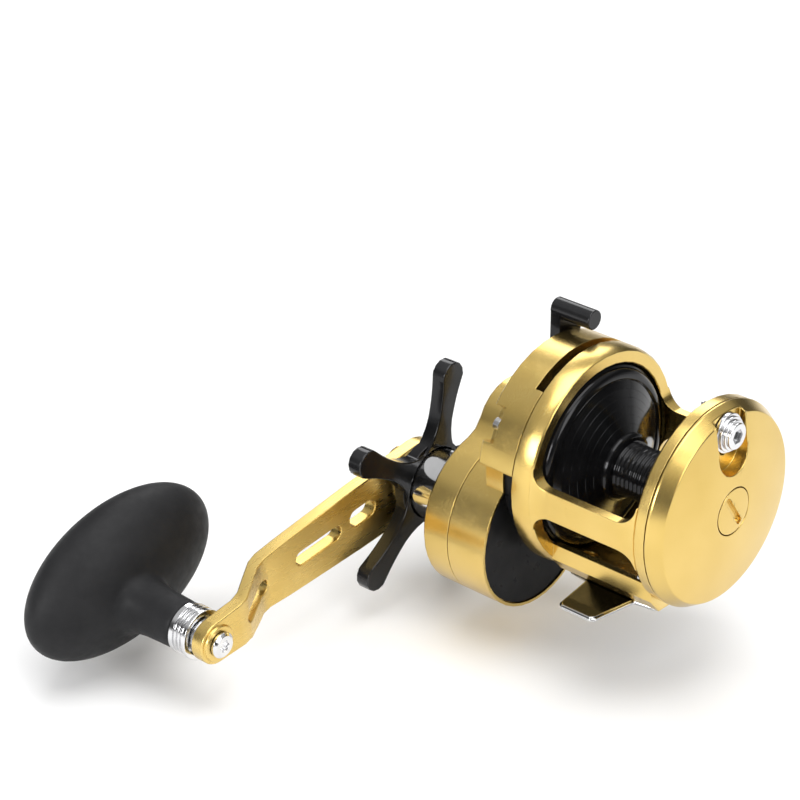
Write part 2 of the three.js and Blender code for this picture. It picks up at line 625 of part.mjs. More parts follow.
const CRANK_STACK = [
  ['main_gear', buildMainGear(), BRASS],
  ['drive_shaft', buildDriveShaft(), STEEL],
  ['ratchet_wheel', buildRatchet(), STEEL],
  ['drive_shaft_bearing', sleeve(7.0, 3.3, 37.7, 40.3), STEEL],
  ['drag_washer_inner', sleeve(16.8, SHAFT_BIG + GAP, 48.7, 49.4, 24), CARBON],
  ['drag_plate', sleeve(16.8, SHAFT_BIG + GAP, 49.7, 50.4, 24), STEEL],
  ['drag_washer_outer', sleeve(16.8, SHAFT_BIG + GAP, 50.7, 51.4, 24), CARBON],
  ['pressure_plate', sleeve(16.8, SHAFT_BIG + GAP, 51.7, 53.0, 24), STEEL],
  ['spring_washer', turned([
    [53.4, SHAFT_BIG + GAP], [54.4, 8.6], [55.0, 8.6], [54.0, SHAFT_BIG + GAP], [53.4, SHAFT_BIG + GAP]], 24),
  STEEL],
  ['roller_clutch', sleeve(7.4, SHAFT_BIG + GAP, 55.6, 63.0, 24), STEEL],
];
CRANK_STACK.forEach(([name, solid, material]) => addPiece(crankAxis, name, solid, material));

addPiece(spoolAxis, 'anti_reverse_pawl', buildPawl(), STEEL);

// Gold bearing collar that stands out of the cover round the drive shaft.
function buildBearingCollar() {
  const collar = turned([
    [55.6, 7.7], [55.6, 9.0], [59.4, 9.0], [59.4, 10.4], [61.0, 10.4], [61.0, 9.4], [66.0, 9.4],
    [66.6, 8.8], [66.6, SHAFT_BIG + GAP], [63.3, SHAFT_BIG + GAP], [63.3, 7.7], [55.6, 7.7]], 28);
  const flats = [0, 60, 120].map((a) => {
    const slabSide = [box([61.0, 8.6, -12], [67.5, 12, 12]), box([61.0, -12, -12], [67.5, -8.6, 12])];
    return join(...slabSide).rotate([a, 0, 0]);
  });
  return cut(collar, ...flats);
}

addPiece(crankAxis, 'bearing_collar', buildBearingCollar(), GOLD);
const SPACER_R = 12.1;
const SPACER_END = 78.4;
addPiece(crankAxis, 'star_spacer', sleeve(SPACER_R, SHAFT_BIG + GAP, 66.9, SPACER_END, 32), SILVER);

// ---------------------------------------------------------------- star drag wheel

// One star arm: narrow waist and round tip, pointing along +Y from the hub.
function starArm() {
  const tip = 4.9;
  const shape = new THREE.Shape();
  shape.moveTo(0, -9.5);
  shape.lineTo(9.5, -8.2);
  shape.quadraticCurveTo(14.5, -3.9, 21.5, -3.3);
  shape.quadraticCurveTo(29.0, -3.2, STAR_REACH - 1.8, -4.55);
  shape.absarc(STAR_REACH, 0, tip, -1.95, 1.95, false);
  shape.lineTo(STAR_REACH - 1.8, 4.55);
  shape.quadraticCurveTo(29.0, 3.2, 21.5, 3.3);
  shape.quadraticCurveTo(14.5, 3.9, 9.5, 8.2);
  shape.lineTo(0, 9.5);
  return slab(shape, STAR_FACE, STAR_FACE + STAR_THICK, 0, 4);
}

// The hub takes the end of the spacer in a counterbore.
function buildStar() {
  const hub = rod(14.4, SPACER_END - 0.4, STAR_FACE + STAR_THICK, 30);
  const arms = [];
  for (let i = 0; i < STAR_ARMS; i += 1) {
    arms.push(starArm().rotate([STAR_ANGLE + i * 360 / STAR_ARMS, 0, 0]));
  }
  return cut(join(hub, ...arms), rod(SPACER_R + GAP, 74, SPACER_END + GAP, 32),
    rod(SHAFT_BIG + GAP, 74, 84, 24));
}

addPiece(crankAxis, 'star_drag', buildStar(), BLACK);

// ---------------------------------------------------------------- handle

// Plan of the handle arm: wide round hub, straight taper, round knob end.
function armPlan() {
  const hub = 12.4;
  const end = 7.2;
  const shape = new THREE.Shape();
  shape.absarc(0, 0, hub, Math.PI * 0.5, Math.PI * 1.5, false);
  shape.lineTo(30, -11.9);
  shape.lineTo(64, -10.3);
  shape.lineTo(80, -9.0);
  shape.lineTo(90, -7.7);
  shape.absarc(ARM_LENGTH, 0, end, -Math.PI * 0.5, Math.PI * 0.5, false);
  shape.lineTo(90, 7.7);
  shape.lineTo(80, 9.0);
  shape.lineTo(64, 10.3);
  shape.lineTo(30, 11.9);
  return shape;
}

// Side view of the arm as a bent strip: [distance along the arm, X of the near face].
function armStrip() {
  const near = [
    [-14, ARM_FACE], [72.5, ARM_FACE], [76.5, ARM_FACE - 1.0], [88.5, ARM_FACE - ARM_OFFSET + 1.0],
    [92.5, ARM_FACE - ARM_OFFSET], [ARM_LENGTH + 10, ARM_FACE - ARM_OFFSET]];
  const far = near.map(([s, x]) => [s, x + ARM_THICK]).reverse();
  const shape = new THREE.Shape([...near, ...far].map(([s, x]) => new THREE.Vector2(s, x)));
  const geometry = new THREE.ExtrudeGeometry(shape, { depth: 30, bevelEnabled: false });
  geometry.translate(0, 0, -15);
  const basis = new THREE.Matrix4().makeBasis(
    new THREE.Vector3(0, 1, 0), new THREE.Vector3(1, 0, 0), new THREE.Vector3(0, 0, -1));
  geometry.applyMatrix4(basis);
  return toSolid(geometry);
}

const ARM_SLOTS = [[28, 12, 6.0, 1.0], [48.8, 21, 4.9, 0.4], [81, 17, 4.6, 0]];

function buildArm() {
  const blank = slab(armPlan(), 70, 92, 0, 10).intersect(armStrip());
  const slots = ARM_SLOTS.map(([s, length, width, w]) => slab(slotShape(length, width, s, w), 68, 94));
  const boss = rod(6.0, ARM_FACE - ARM_OFFSET - 0.9, ARM_FACE - ARM_OFFSET + 1, 24).translate([0, ARM_LENGTH, 0]);
  const hubHole = rod(SHAFT_BIG + GAP, 80, 92, 24);
  const knobHole = rod(2.7, 70, 92, SMALL).translate([0, ARM_LENGTH, 0]);
  return cut(join(blank, boss), ...slots, hubHole, knobHole).rotate([-ARM_FALL, 0, 0]);
}

// Round shell cap-nut with six flats, and the screw that locks it.
function buildHandleNut() {
  const start = ARM_FACE + ARM_THICK + GAP;
  const nut = turned([
    [start, SHAFT_BIG + GAP], [start, 8.6], [start + 1.4, 8.6], [start + 1.4, 7.4], [start + 5.4, 7.4],
    [start + 6.2, 6.6], [start + 6.2, 2.3], [start + 4.8, 2.3], [start + 4.8, SHAFT_BIG + GAP],
    [start, SHAFT_BIG + GAP]], 24);
  const flats = [0, 60, 120].map((a) => join(
    box([start + 1.4, 6.6, -9], [start + 7, 9, 9]),
    box([start + 1.4, -9, -9], [start + 7, -6.6, 9])).rotate([a, 0, 0]));
  return cut(nut, ...flats);
}

addPiece(crankAxis, 'hub_washer', sleeve(12.2, SHAFT_BIG + GAP, 82.6, 83.5, 24), SILVER);
addPiece(crankAxis, 'handle_arm', buildArm(), GOLD);
addPiece(crankAxis, 'handle_nut', buildHandleNut(), GOLD);
addPiece(crankAxis, 'nut_lock_screw', turned([
  [86.6, 0], [86.6, 1.6], [95.3, 1.6], [95.3, 3.8], [96.6, 3.4], [96.6, 1.2], [95.9, 1.2], [95.9, 0]], 16), SILVER);

// ---------------------------------------------------------------- knob

const KNOB_BORE = 6.8;
const GRIP_CENTRE = [124.2, -4.0, 4.0];
const GRIP_RADII = [16.0, 38.0, 23.6];

function buildGrip() {
  const egg = new THREE.SphereGeometry(1, 20, 12);
  egg.rotateZ(-Math.PI / 2);
  egg.scale(...GRIP_RADII);
  egg.rotateX(THREE.MathUtils.degToRad(KNOB_TILT));
  egg.translate(...GRIP_CENTRE);
  const stem = turned([
    [88.8, 0], [88.8, 7.6], [89.6, 8.1], [104, 8.4], [109.5, 10.2], [113.5, 14.5], [118, 14.5], [118, 0]], 20);
  return cut(join(toSolid(egg), stem), rod(KNOB_BORE, 87, 110.2, 24));
}

const headStart = ARM_FACE - ARM_OFFSET - 0.9;

function buildKnobScrew() {
  const screw = turned([
    [headStart - 2.0, 0], [headStart - 2.0, 3.4], [headStart - 1.2, 4.3], [headStart - GAP, 4.3],
    [headStart - GAP, 2.3], [84.4, 2.3], [84.4, 0]], 24);
  const recess = slab(polygon(toothedOutline(6, 1.3, 2.0, 0.14)), headStart - 3, headStart - 1.0);
  return cut(screw, recess);
}

const postStart = ARM_FACE - ARM_OFFSET + ARM_THICK + GAP;

function buildKnobPost() {
  return turned([
    [postStart, 2.6], [postStart, 6.2], [postStart + 1.2, 6.2], [postStart + 1.2, 4.0], [109.0, 4.0],
    [109.0, 0], [84.7, 0], [84.7, 2.6], [postStart, 2.6]], 24);
}

function buildCollar() {
  const x = postStart + 1.5;
  return turned([
    [x, KNOB_BORE], [x, 8.4], [x + 1.4, 8.4], [x + 1.6, 7.9], [x + 2.2, 7.9], [x + 2.4, 8.5],
    [88.5, 8.5], [88.5, KNOB_BORE], [x, KNOB_BORE]], 24);
}

addPiece(knobAxis, 'knob_screw', buildKnobScrew(), SILVER);
addPiece(knobAxis, 'knob_post', buildKnobPost(), STEEL);
addPiece(knobAxis, 'knob_collar', buildCollar(), SILVER);
[[83.4, 86.2], [104.6, 107.4]].forEach(([x0, x1], i) => {
  addPiece(knobAxis, `knob_bearing_${i + 1}`, sleeve(KNOB_BORE - GAP, 4.3, x0, x1), STEEL);
});
addPiece(knobAxis, 'knob_grip', buildGrip(), GRIP_RUBBER);

export default reel;
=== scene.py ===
"""Studio picture of a star-drag trolling reel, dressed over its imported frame. Metres, +Z up."""

import json
import math

import bmesh
import bpy
from mathutils import Matrix, Vector
from mathutils.geometry import intersect_point_line


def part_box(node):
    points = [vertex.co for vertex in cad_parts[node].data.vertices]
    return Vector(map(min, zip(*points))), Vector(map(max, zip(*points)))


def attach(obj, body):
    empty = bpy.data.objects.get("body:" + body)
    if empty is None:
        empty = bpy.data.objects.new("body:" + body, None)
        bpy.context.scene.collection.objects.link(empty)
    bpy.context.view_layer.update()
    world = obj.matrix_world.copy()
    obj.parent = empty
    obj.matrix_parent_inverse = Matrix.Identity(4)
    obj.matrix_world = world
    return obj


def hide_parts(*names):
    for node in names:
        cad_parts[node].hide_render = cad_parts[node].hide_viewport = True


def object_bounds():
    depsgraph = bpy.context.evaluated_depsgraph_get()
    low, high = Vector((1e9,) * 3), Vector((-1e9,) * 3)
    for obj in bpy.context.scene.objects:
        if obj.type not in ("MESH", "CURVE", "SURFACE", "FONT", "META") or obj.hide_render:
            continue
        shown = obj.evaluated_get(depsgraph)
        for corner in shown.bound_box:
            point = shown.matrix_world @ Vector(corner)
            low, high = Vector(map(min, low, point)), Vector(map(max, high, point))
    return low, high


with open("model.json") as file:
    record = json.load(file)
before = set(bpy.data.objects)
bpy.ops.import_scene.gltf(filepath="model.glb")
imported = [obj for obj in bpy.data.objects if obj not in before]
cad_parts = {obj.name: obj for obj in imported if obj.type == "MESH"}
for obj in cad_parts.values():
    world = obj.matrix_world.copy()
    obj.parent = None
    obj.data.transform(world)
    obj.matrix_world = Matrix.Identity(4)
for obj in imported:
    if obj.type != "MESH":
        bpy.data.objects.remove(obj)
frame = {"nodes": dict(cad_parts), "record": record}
CAD_BOX = [list(corner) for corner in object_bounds()]
NODES = frame["nodes"]
BODY_OF = {n: body for body, names in frame["record"]["behaviour"]["bodies"].items() for n in names}
SLOT_OF = {row["node"]: row["material_slot"] for row in frame["record"]["subparts"]}
MM = 0.001


def centre(node):
    """The middle of a CAD node's box."""
    low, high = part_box(node)
    return (low + high) / 2


def on_axis(node):
    """The point at X = 0 on the line along X through a node's middle."""
    middle = centre(node)
    return Vector((0, middle.y, middle.z))


SPOOL_AXIS = on_axis("spool_shaft")
CRANK_AXIS = on_axis("drive_shaft")
KNOB_AXIS = on_axis("knob_collar")


# ------------------------------------------------------------------ materials


class Shader:
    """A Principled material with short helpers for its node graph."""

    def __init__(self, name, **sockets):
        self.material = bpy.data.materials.new(name)
        self.material.use_nodes = True
        self.tree = self.material.node_tree
        self.main = self.tree.nodes["Principled BSDF"]
        for socket, value in sockets.items():
            self.main.inputs[socket.replace("_", " ")].default_value = value
        self.place = self.node("ShaderNodeTexCoord").outputs["Object"]

    def node(self, kind, **settings):
        made = self.tree.nodes.new(kind)
        for key, value in settings.items():
            setattr(made, key, value)
        return made

    def link(self, source, socket):
        """Feeds a socket from another node's output, or sets it to a number."""
        if isinstance(source, bpy.types.NodeSocket):
            self.tree.links.new(source, socket)
        else:
            socket.default_value = source

    def maths(self, operation, a, b):
        made = self.node("ShaderNodeMath", operation=operation)
        self.link(a, made.inputs[0])
        self.link(b, made.inputs[1])
        return made.outputs[0]

    def noise(self, scale, detail, rough=0.55, stretch=None):
        """Noise in space, drawn out along the axes where `stretch` is under 1."""
        made = self.node("ShaderNodeTexNoise")
        made.inputs["Scale"].default_value = scale
        made.inputs["Detail"].default_value = detail
        made.inputs["Roughness"].default_value = rough
        source = self.place
        if stretch:
            mapping = self.node("ShaderNodeMapping")
            mapping.inputs["Scale"].default_value = stretch
            self.link(source, mapping.inputs["Vector"])
            source = mapping.outputs[0]
        self.link(source, made.inputs["Vector"])
        return made.outputs["Fac"]

    def remap(self, value, low, high, to_low, to_high):
        made = self.node("ShaderNodeMapRange")
        for i, number in enumerate((low, high, to_low, to_high)):
            made.inputs[i + 1].default_value = number
        self.link(value, made.inputs[0])
        return made.outputs[0]

    def radius(self, axis):
        """Distance from a line that runs along X through `axis`."""
        shift = self.node("ShaderNodeVectorMath", operation="SUBTRACT")
        self.link(self.place, shift.inputs[0])
        shift.inputs[1].default_value = axis
        flat = self.node("ShaderNodeVectorMath", operation="MULTIPLY")
        self.link(shift.outputs[0], flat.inputs[0])
        flat.inputs[1].default_value = (0, 1, 1)
        size = self.node("ShaderNodeVectorMath", operation="LENGTH")
        self.link(flat.outputs[0], size.inputs[0])
        return size.outputs["Value"]

    def lines(self, value, per_metre, detail=2.0):
        """Noise along one number: fine machined lines."""
        made = self.node("ShaderNodeTexNoise", noise_dimensions="1D")
        made.inputs["Scale"].default_value = per_metre
        made.inputs["Detail"].default_value = detail
        self.link(value, made.inputs["W"])
        return made.outputs["Fac"]

    def along_x(self):
        """Distance along X."""
        parts = self.node("ShaderNodeSeparateXYZ")
        self.link(self.place, parts.inputs[0])
        return parts.outputs["X"]

    def mix(self, factor, first, second):
        made = self.node("ShaderNodeMix", data_type="RGBA")
        self.link(factor, made.inputs["Factor"])
        for socket, colour in ((made.inputs[6], first), (made.inputs[7], second)):
            if isinstance(colour, tuple):
                socket.default_value = (*colour, 1)
            else:
                self.link(colour, socket)
        return made.outputs[2]

    def edge_wear_and_highlight(self, low=0.53, high=0.62):
        """Near 1 on outer edges: the mask for a painted edge highlight, together with the wear where handling
        brightens the metal.
        """
        return self.remap(self.node("ShaderNodeNewGeometry").outputs["Pointiness"], low, high, 0, 1)

    def bump(self, *layers):
        """Layers are (height, strength, distance in metres)."""
        normal = None
        for height, strength, distance in layers:
            made = self.node("ShaderNodeBump")
            made.inputs["Strength"].default_value = strength
            made.inputs["Distance"].default_value = distance
            self.link(height, made.inputs["Height"])
            if normal:
                self.link(normal, made.inputs["Normal"])
            normal = made.outputs[0]
        self.link(normal, self.main.inputs["Normal"])

    def finish(self, colour, roughness):
        self.link(colour, self.main.inputs["Base Color"])
        self.link(roughness, self.main.inputs["Roughness"])
        return self.material


GOLD_DEEP = (0.675, 0.470, 0.130)
GOLD_PALE = (0.745, 0.535, 0.170)
# pale gold for outer edges: a painted edge highlight together with edge wear
GOLD_EDGE_WEAR_AND_HIGHLIGHT = (0.90, 0.74, 0.36)
GOLD_COAT = {"Metallic": 1.0, "IOR": 1.45, "Coat_Weight": 0.25, "Coat_Roughness": 0.3}
SILVER = (0.80, 0.80, 0.81)
SLEEVE = (0.86, 0.86, 0.87)
SATIN = (0.90, 0.90, 0.90)
STEEL = (0.56, 0.57, 0.59)
BRASS = (0.70, 0.48, 0.18)
DARK_MIRROR = (0.085, 0.085, 0.09)
# white for outer edges: a painted edge highlight together with edge wear
BRIGHT_EDGE_WEAR_AND_HIGHLIGHT = (0.95, 0.95, 0.95)


def gold(name, axis=None, satin=0.24, lines=0.18):
    """Gold anodised aluminium: turned lines round `axis`, or an even bead-blast."""
    s = Shader(name, **GOLD_COAT)
    cloud = s.noise(45, 3)
    blast = s.noise(5200, 2, 0.6)
    colour = s.mix(s.remap(cloud, 0.3, 0.7, 0, 1), GOLD_DEEP, GOLD_PALE)
    # outer edges lighter: a painted edge highlight together with edge wear
    colour = s.mix(s.maths("MULTIPLY", s.edge_wear_and_highlight(), 0.35), colour, GOLD_EDGE_WEAR_AND_HIGHLIGHT)
    smear = s.remap(s.noise(190, 3, 0.55), 0.35, 0.7, -0.01, 0.018)
    roughness = s.maths("ADD", s.maths("ADD", smear, satin), s.remap(blast, 0.3, 0.7, -0.02, 0.03))
    layers = [(blast, 0.10, 0.00002)]
    if axis is not None:
        layers.append((s.lines(s.radius(axis), 9000), lines, 0.00002))
        layers.append((s.lines(s.along_x(), 6000), lines, 0.00002))
    s.bump(*layers)
    return s.finish(colour, roughness)


def brushed_gold(name):
    """Gold anodised aluminium brushed along Y, the length of the handle arm."""
    s = Shader(name, **GOLD_COAT)
    strokes = s.noise(700, 2, 0.5, stretch=(1.0, 0.12, 1.0))
    cloud = s.noise(60, 2)
    colour = s.mix(s.remap(cloud, 0.3, 0.7, 0, 1), GOLD_DEEP, GOLD_PALE)
    # outer edges lighter: a painted edge highlight together with edge wear
    colour = s.mix(s.maths("MULTIPLY", s.edge_wear_and_highlight(), 0.4), colour, GOLD_EDGE_WEAR_AND_HIGHLIGHT)
    s.bump((strokes, 0.012, 0.00002), (s.noise(5200, 2), 0.09, 0.00002))
    return s.finish(colour, s.remap(strokes, 0.3, 0.7, 0.25, 0.31))


def black(name, axis=None, gloss=0.16, metal=0.6, rings=0.12, shine=0.4, coat=0.15):
    """Glossy black anodising with faint turned rings; its outer edges are lightened, a painted edge highlight
    together with scuffing.
    """
    s = Shader(name, Metallic=metal, IOR=1.45, Coat_Weight=coat, Coat_Roughness=0.08)
    s.main.inputs["Specular IOR Level"].default_value = shine
    cloud = s.noise(120, 4)
    colour = s.mix(s.remap(cloud, 0.3, 0.7, 0, 1), (0.008, 0.008, 0.009), (0.016, 0.016, 0.017))
    # grey on outer edges: a painted edge highlight together with scuffed wear
    colour = s.mix(s.maths("MULTIPLY", s.edge_wear_and_highlight(0.54, 0.66), 0.3), colour, (0.16, 0.16, 0.165))
    roughness = s.remap(s.noise(260, 4, 0.65), 0.35, 0.7, gloss - 0.03, gloss + 0.07)
    layers = [(s.noise(3800, 2), 0.05, 0.00002)]
    if axis is not None:
        layers.append((s.lines(s.radius(axis), 5200, 3), rings, 0.00003))
    s.bump(*layers)
    return s.finish(colour, roughness)


def bright(name, colour, roughness, lines=0.12, axis=None, edge=BRIGHT_EDGE_WEAR_AND_HIGHLIGHT):
    """Plated or machined metal with turning lines and light handling marks."""
    s = Shader(name, Metallic=1.0, IOR=1.5)
    marks = s.noise(400, 5, 0.7)
    dim = tuple(0.86 * c for c in colour)
    shade = s.mix(s.remap(s.noise(90, 3), 0.3, 0.7, 0, 1), dim, colour)
    # outer edges mixed towards the edge colour: a painted edge highlight together with edge wear
    shade = s.mix(s.maths("MULTIPLY", s.edge_wear_and_highlight(), 0.4), shade, edge)
    layers = [(marks, 0.04, 0.00003), (s.lines(s.along_x(), 7000), lines, 0.00002)]
    if axis is not None:
        layers.append((s.lines(s.radius(axis), 8000), lines, 0.00002))
    s.bump(*layers)
    return s.finish(shade, s.remap(marks, 0.35, 0.7, roughness - 0.03, roughness + 0.06))


def carbon(name):
    """Woven carbon of the drag washers."""
    s = Shader(name, Metallic=0.0, IOR=1.5)
    weave = s.node("ShaderNodeTexChecker")
    weave.inputs["Scale"].default_value = 1400
    s.link(s.place, weave.inputs["Vector"])
    colour = s.mix(weave.outputs["Fac"], (0.012, 0.012, 0.013), (0.040, 0.040, 0.042))
    s.bump((weave.outputs["Fac"], 0.3, 0.00003))
    return s.finish(colour, s.remap(s.noise(900, 2), 0.3, 0.7, 0.40, 0.55))


def moulded_grip(name):
    """Matte black moulded grip with a fine leathery grain."""
    s = Shader(name, Metallic=0.0, IOR=1.48)
    s.main.inputs["Specular IOR Level"].default_value = 0.2
    grain = s.node("ShaderNodeTexVoronoi", feature="SMOOTH_F1")
    grain.inputs["Scale"].default_value = 2300
    s.link(s.place, grain.inputs["Vector"])
    fine = s.noise(6500, 2, 0.6)
    cloud = s.noise(70, 4, 0.6)
    colour = s.mix(s.remap(cloud, 0.3, 0.7, 0, 1), (0.010, 0.010, 0.011), (0.017, 0.017, 0.018))
    s.bump((grain.outputs["Distance"], 0.22, 0.00006), (fine, 0.18, 0.00004))
    return s.finish(colour, s.remap(s.noise(320, 4), 0.3, 0.7, 0.46, 0.60))


MATERIALS = {
    "gold": gold("gold_anodised_blasted"),
    "gold_turned": gold("gold_anodised_turned", SPOOL_AXIS, 0.23, 0.20),
    "gold_collar": gold("gold_anodised_collar", CRANK_AXIS, 0.2, 0.15),
    "gold_brushed": brushed_gold("gold_anodised_brushed"),
    "black": black("black_anodised_smooth", gloss=0.13, metal=0.45, shine=0.35),
    "black_turned": black("black_anodised_turned", SPOOL_AXIS, 0.13),
    "black_plain": black("black_plate_satin", SPOOL_AXIS, 0.30, metal=0.0, rings=0.3, shine=0.08, coat=0.0),
    # these looks lighten their outer edges towards their edge colour: a painted edge highlight together with
    # edge wear
    "silver": bright("silver_polished", SILVER, 0.12),
    "silver_sleeve": bright("silver_sleeve", SLEEVE, 0.08, 0.05, CRANK_AXIS),
    "silver_satin": bright("silver_satin", SATIN, 0.30, 0.2, CRANK_AXIS),
    "steel": bright("steel_machined", STEEL, 0.25, 0.2),
    "brass": bright("brass_machined", BRASS, 0.24, 0.2, edge=(1.0, 0.86, 0.55)),
    "foot": bright("foot_dark_mirror", DARK_MIRROR, 0.10, 0.02, edge=(0.7, 0.7, 0.71)),
    "carbon": carbon("carbon_weave"),
    "grip": moulded_grip("grip_matte"),
}
SLOT_LOOK = {
    "gold_anodised": "gold",
    "black_anodised": "black",
    "silver_chrome": "silver",
    "steel": "steel",
    "brass": "brass",
    "foot_chrome": "foot",
    "carbon_washer": "carbon",
    "grip_rubber": "grip",
}
NODE_LOOK = {
    "left_side_plate": "gold_turned",
    "spool_tension_cap": "gold_turned",
    "bearing_collar": "gold_collar",
    "handle_arm": "gold_brushed",
    "handle_nut": "gold_collar",
    "star_spacer": "silver_sleeve",
    "spool": "black_turned",
    "inner_plate": "black_plain",
    "hub_washer": "silver_satin",
}
RIM_LOOK = {"reel_foot": "silver"}    # a second material for a node's rounded edges


# ------------------------------------------------------------------ mesh helpers

ON_AXIS = 1e-4         # mm; a smaller radius is a point on the axis
CARVED_WELD = 1e-6     # m; vertices closer than this are one after a boolean
CAD_WELD = 2e-6        # m; the same for a CAD node's mesh
FLAT_ANGLE = 0.7       # degrees; CAD triangles that meet at less lie in one face
SHARP_ANGLE = 30       # degrees; faces that meet at more have a sharp edge
ROOM_SHARE = 0.38      # how much of the way to the next sharp edge a rounding may take


def look_of(node):
    """A node's own material, or its slot's where it has none."""
    return MATERIALS[NODE_LOOK.get(node, SLOT_LOOK[SLOT_OF[node]])]


def piece(name, mesh, *nodes, edge=0.0, angle=SHARP_ANGLE, segments=2):
    """Links a mesh as the visible stand-in of CAD nodes, on the body of the first one."""
    data = bpy.data.meshes.new(name)
    bmesh.ops.recalc_face_normals(mesh, faces=mesh.faces)
    mesh.to_mesh(data)
    mesh.free()
    data.shade_smooth()
    data.set_sharp_from_angle(angle=math.radians(angle))
    made = bpy.data.objects.new(name, data)
    bpy.context.scene.collection.objects.link(made)
    if edge:
        bevel = made.modifiers.new("edge", "BEVEL")
        bevel.width = edge * MM
        bevel.segments = segments
        bevel.limit_method = "ANGLE"
        bevel.angle_limit = math.radians(angle)
        bevel.use_clamp_overlap = False
        weighted = made.modifiers.new("shade", "WEIGHTED_NORMAL")
        weighted.keep_sharp = False
        weighted.mode = "FACE_AREA_WITH_ANGLE"
    if nodes:
        made.data.materials.append(look_of(nodes[0]))
        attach(made, BODY_OF[nodes[0]])
        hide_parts(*nodes)
    return made


def ring(mesh, axis, x, radius, count):
    """A circle of vertices about the X line through `axis`, or one vertex where the radius is 0."""
    if radius < ON_AXIS:
        return [mesh.verts.new(axis + Vector((x, 0, 0)) * MM)]
    made = []
    for i in range(count):
        a = math.tau * i / count
        made.append(mesh.verts.new(axis + Vector((x, radius * math.cos(a), radius * math.sin(a))) * MM))
    return made


def turned(profile, axis, count=128):
    """A solid turned about the X line through `axis`, from [x, radius] pairs in mm."""
    mesh = bmesh.new()
    closed = profile[0] == profile[-1]
    rings = [ring(mesh, axis, x, r, count) for x, r in (profile[:-1] if closed else profile)]
    pairs = list(zip(rings, rings[1:]))
    if closed:
        pairs.append((rings[-1], rings[0]))
    for first, second in pairs:
        for i in range(count):
            j = (i + 1) % count
            corners = [row[k % len(row)] for row, k in ((first, i), (first, j), (second, j), (second, i))]
            kept = list(dict.fromkeys(corners))
            if len(kept) > 2:
                mesh.faces.new(kept)
    return mesh


def carve(target, *tools, operation="DIFFERENCE"):
    """Applies boolean tools to a mesh and returns the result; the tools are used up."""
    first, *others = [piece("carving", mesh) for mesh in (target, *tools)]
    for tool in others:
        modifier = first.modifiers.new("carve", "BOOLEAN")
        modifier.operation = operation
        modifier.solver = "EXACT"
        modifier.object = tool
    bpy.context.view_layer.update()
    graph = bpy.context.evaluated_depsgraph_get()
    result = bmesh.new()
    result.from_mesh(first.evaluated_get(graph).to_mesh())
    for used in (first, *others):
        bpy.data.objects.remove(used)
    bmesh.ops.remove_doubles(result, verts=result.verts, dist=CARVED_WELD)
    return result


def slab(outline, x0, x1):
    """A prism along X from an outline of (y, z) points in metres."""
    mesh = bmesh.new()
    near = [mesh.verts.new((x0 * MM, y, z)) for y, z in outline]
    far = [mesh.verts.new((x1 * MM, y, z)) for y, z in outline]
    mesh.faces.new(near)
    mesh.faces.new(far)
    for i in range(len(outline)):
        j = (i + 1) % len(outline)
        mesh.faces.new([near[i], near[j], far[j], far[i]])
    bmesh.ops.recalc_face_normals(mesh, faces=mesh.faces)
    return mesh


def slot_outline(axis, length, width, y, z, degrees, steps=24):
    """Outline of a round-ended slot centred at (y, z) mm from `axis`, turned by `degrees`."""
    turn = math.radians(degrees)
    half = (length - width) / 2
    points = []
    for end, start in ((1, -0.5), (-1, 0.5)):
        for i in range(steps + 1):
            a = turn + math.pi * (start + i / steps)
            py = y + end * half * math.cos(turn) + width / 2 * math.cos(a)
            pz = z + end * half * math.sin(turn) + width / 2 * math.sin(a)
            points.append((axis.y + py * MM, axis.z + pz * MM))
    return points


def room(side, sharp):
    """Distance from the middle of an edge to the nearest sharp edge across one of its faces."""
    middle = (side.verts[0].co + side.verts[1].co) / 2
    nearest = 1.0
    for face in side.link_faces:
        for other in face.edges:
            if other in sharp and not set(other.verts) & set(side.verts):
                start, end = (corner.co for corner in other.verts)
                point, along = intersect_point_line(middle, start, end)
                point = start if along < 0 else end if along > 1 else point
                nearest = min(nearest, (point - middle).length)
    return nearest


def refined(node, edge):
    """The CAD node's own shape with its flat faces whole and its sharp edges rounded.

    A rounding gets narrower where a wall or step is thin, so that it never crosses the next edge."""
    mesh = bmesh.new()
    mesh.from_mesh(NODES[node].data)
    bmesh.ops.remove_doubles(mesh, verts=mesh.verts, dist=CAD_WELD)
    bmesh.ops.dissolve_limit(
        mesh, angle_limit=math.radians(FLAT_ANGLE), use_dissolve_boundaries=False,
        verts=mesh.verts, edges=mesh.edges)
    share = mesh.edges.layers.float.new("bevel_weight_edge")
    sharp = {side for side in mesh.edges if side.calc_face_angle(0) > math.radians(SHARP_ANGLE)}
    for side in sharp:
        side[share] = min(1.0, ROOM_SHARE * room(side, sharp) / (edge * MM))
    made = piece(node + "_finished", mesh, node, edge=edge)
    made.modifiers["edge"].limit_method = "WEIGHT"
    if node in RIM_LOOK:
        made.data.materials.append(MATERIALS[RIM_LOOK[node]])
        made.modifiers["edge"].material = 1


# ------------------------------------------------------------------ left side


PLATE_CROWN = -32.1        # X of the dome's highest point
PLATE_SHOULDER = -28.9     # X where the dome meets its chamfer
PLATE_SEAT = -23.75        # X of the face against the frame
PLATE_INSIDE = -26.1       # X of the wall's inner face
PLATE_RADIUS = 34.0
DOME_RADIUS = 31.4
DOME_FALL = (PLATE_SHOULDER - PLATE_CROWN) / DOME_RADIUS**2
CAP_BORE = 8.0
CAP_RADIUS = 7.7
BUTTON_SLOT_WIDTH = 14.4
COIN_SLOT = (13.2, 2.2, 55)    # length, width and degrees


def dome(*radii):
    """Points of the plate's domed face, which the tension cap continues."""
    return [[PLATE_CROWN + DOME_FALL * r * r, r] for r in radii]


